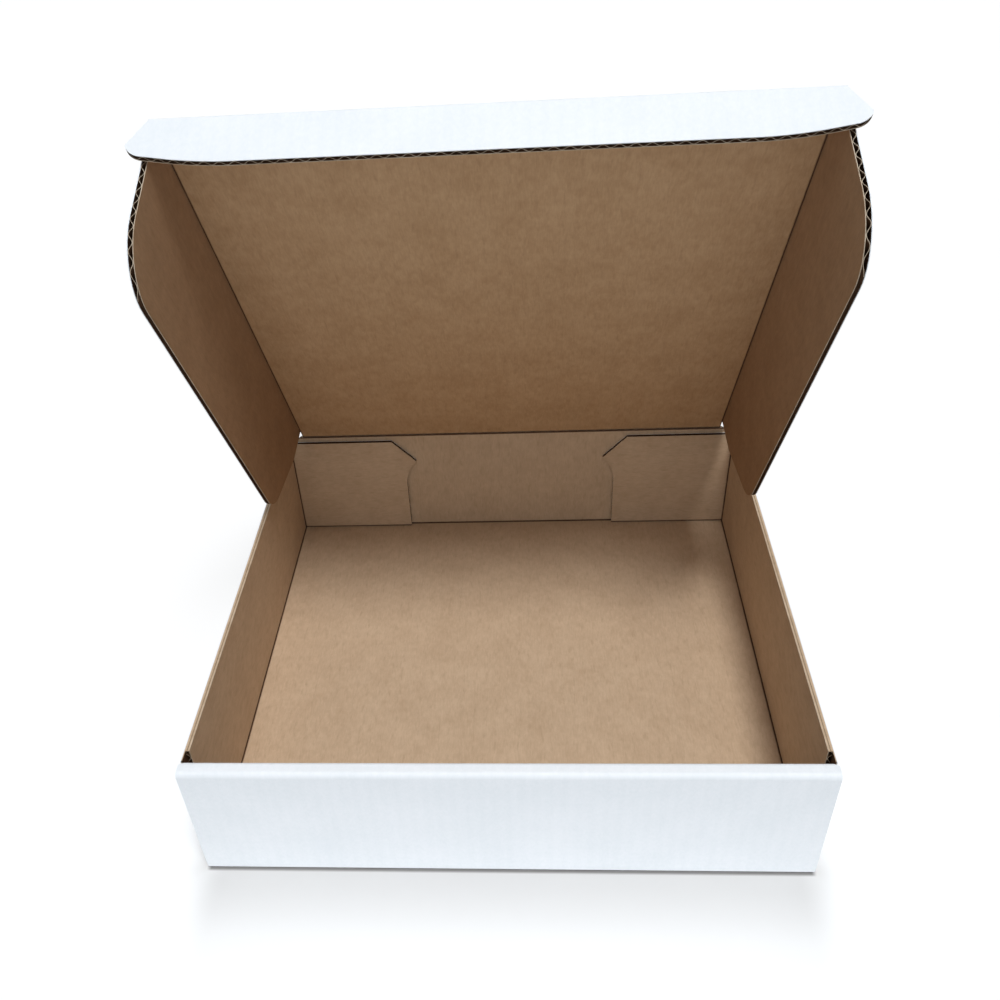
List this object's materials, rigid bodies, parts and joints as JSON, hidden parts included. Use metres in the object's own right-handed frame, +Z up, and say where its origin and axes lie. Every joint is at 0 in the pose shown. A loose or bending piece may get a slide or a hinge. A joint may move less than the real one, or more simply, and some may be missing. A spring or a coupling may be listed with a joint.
{
  "type": "cake box",
  "caption": "Shallow square cake box folded from one sheet of white-lined corrugated board, with a rolled front wall and a hinged lid with side flaps and an eared front flap.",
  "frame": {"origin": "middle of the underside of the base", "axes": "+X to the right seen from the front, +Y to the back where the lid is hinged, +Z up"},
  "size_m": [0.305, 0.296, 0.3216],
  "materials": {
    "tray_board": "matt white paper outside, brown paper inside",
    "lid_board": "matt white paper outside, brown paper inside",
    "front_flap_board": "matt white paper outside, brown paper inside",
    "side_flap_board": "matt brown paper inside, white paper outside"
  },
  "bodies": {
    "tray": {"tray": "tray_board"},
    "lid": {"lid_panel": "lid_board"},
    "front_flap": {"lid_front_flap": "front_flap_board"},
    "left_flap": {"lid_left_flap": "side_flap_board"},
    "right_flap": {"lid_right_flap": "side_flap_board"}
  },
  "joints": [
    {"name": "lid_hinge", "type": "hinge", "parent": "tray", "child": "lid", "pos_m": [0, 0.1466, 0.07845], "axis": [-1, 0, 0], "range_deg": [-59, 121]},
    {"name": "front_flap_fold", "type": "hinge", "parent": "lid", "child": "front_flap", "pos_m": [0, -0.00095, 0.32018], "axis": [-1, 0, 0], "range_deg": [-3, 90]},
    {"name": "left_flap_fold", "type": "hinge", "parent": "lid", "child": "left_flap", "pos_m": [-0.14255, 0.1466, 0.07845], "axis": [0, 0.521, -0.8536], "range_deg": [-9, 85]},
    {"name": "right_flap_fold", "type": "hinge", "parent": "lid", "child": "right_flap", "pos_m": [0.14255, 0.1466, 0.07845], "axis": [0, -0.521, 0.8536], "range_deg": [-9, 85]}
  ]
}
